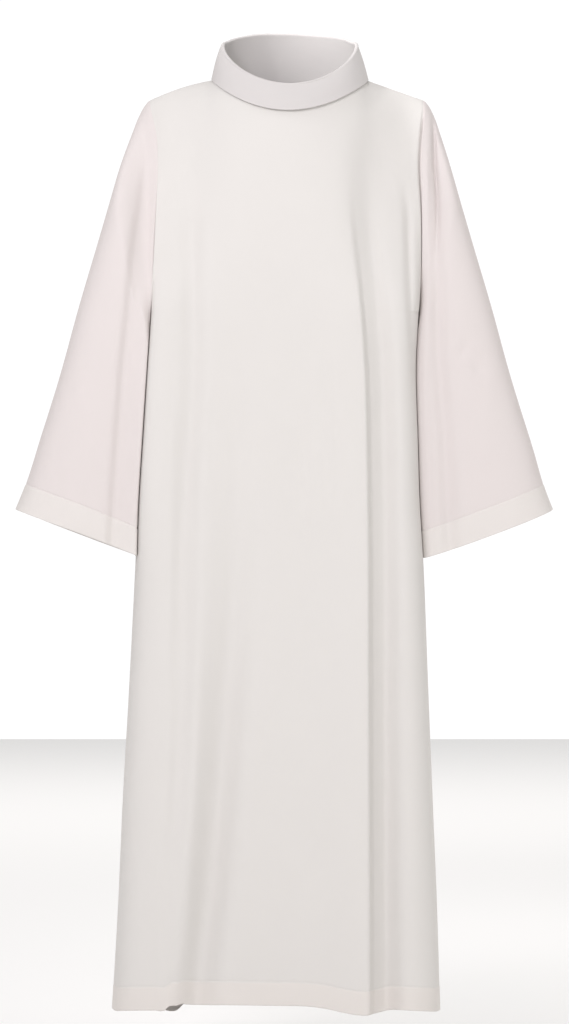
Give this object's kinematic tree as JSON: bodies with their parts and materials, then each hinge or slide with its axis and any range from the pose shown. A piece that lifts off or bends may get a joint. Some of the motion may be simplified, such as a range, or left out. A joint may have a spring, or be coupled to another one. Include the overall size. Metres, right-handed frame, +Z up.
{
  "type": "alb robe",
  "caption": "Long plain A-line robe with wide bell sleeves and a tall fold-over roll collar, filled out as if worn, hollow and open at neck, cuffs and hem.",
  "frame": {"origin": "middle of the neck opening, at the height where the shoulders meet the neck: the place where a wearer's shoulders carry the robe", "axes": "+Z up along the robe, -Y to the robe's front, +X to the right as seen from the front"},
  "size_m": [0.856, 0.3454, 1.5811],
  "materials": {
    "robe_cloth": "matte smooth crepe",
    "collar_cloth": "matte smooth crepe, doubled"
  },
  "bodies": {
    "root": {"body_front": "robe_cloth", "body_back": "robe_cloth", "sleeve_left": "robe_cloth", "sleeve_right": "robe_cloth", "collar": "collar_cloth"}
  },
  "joints": []
}
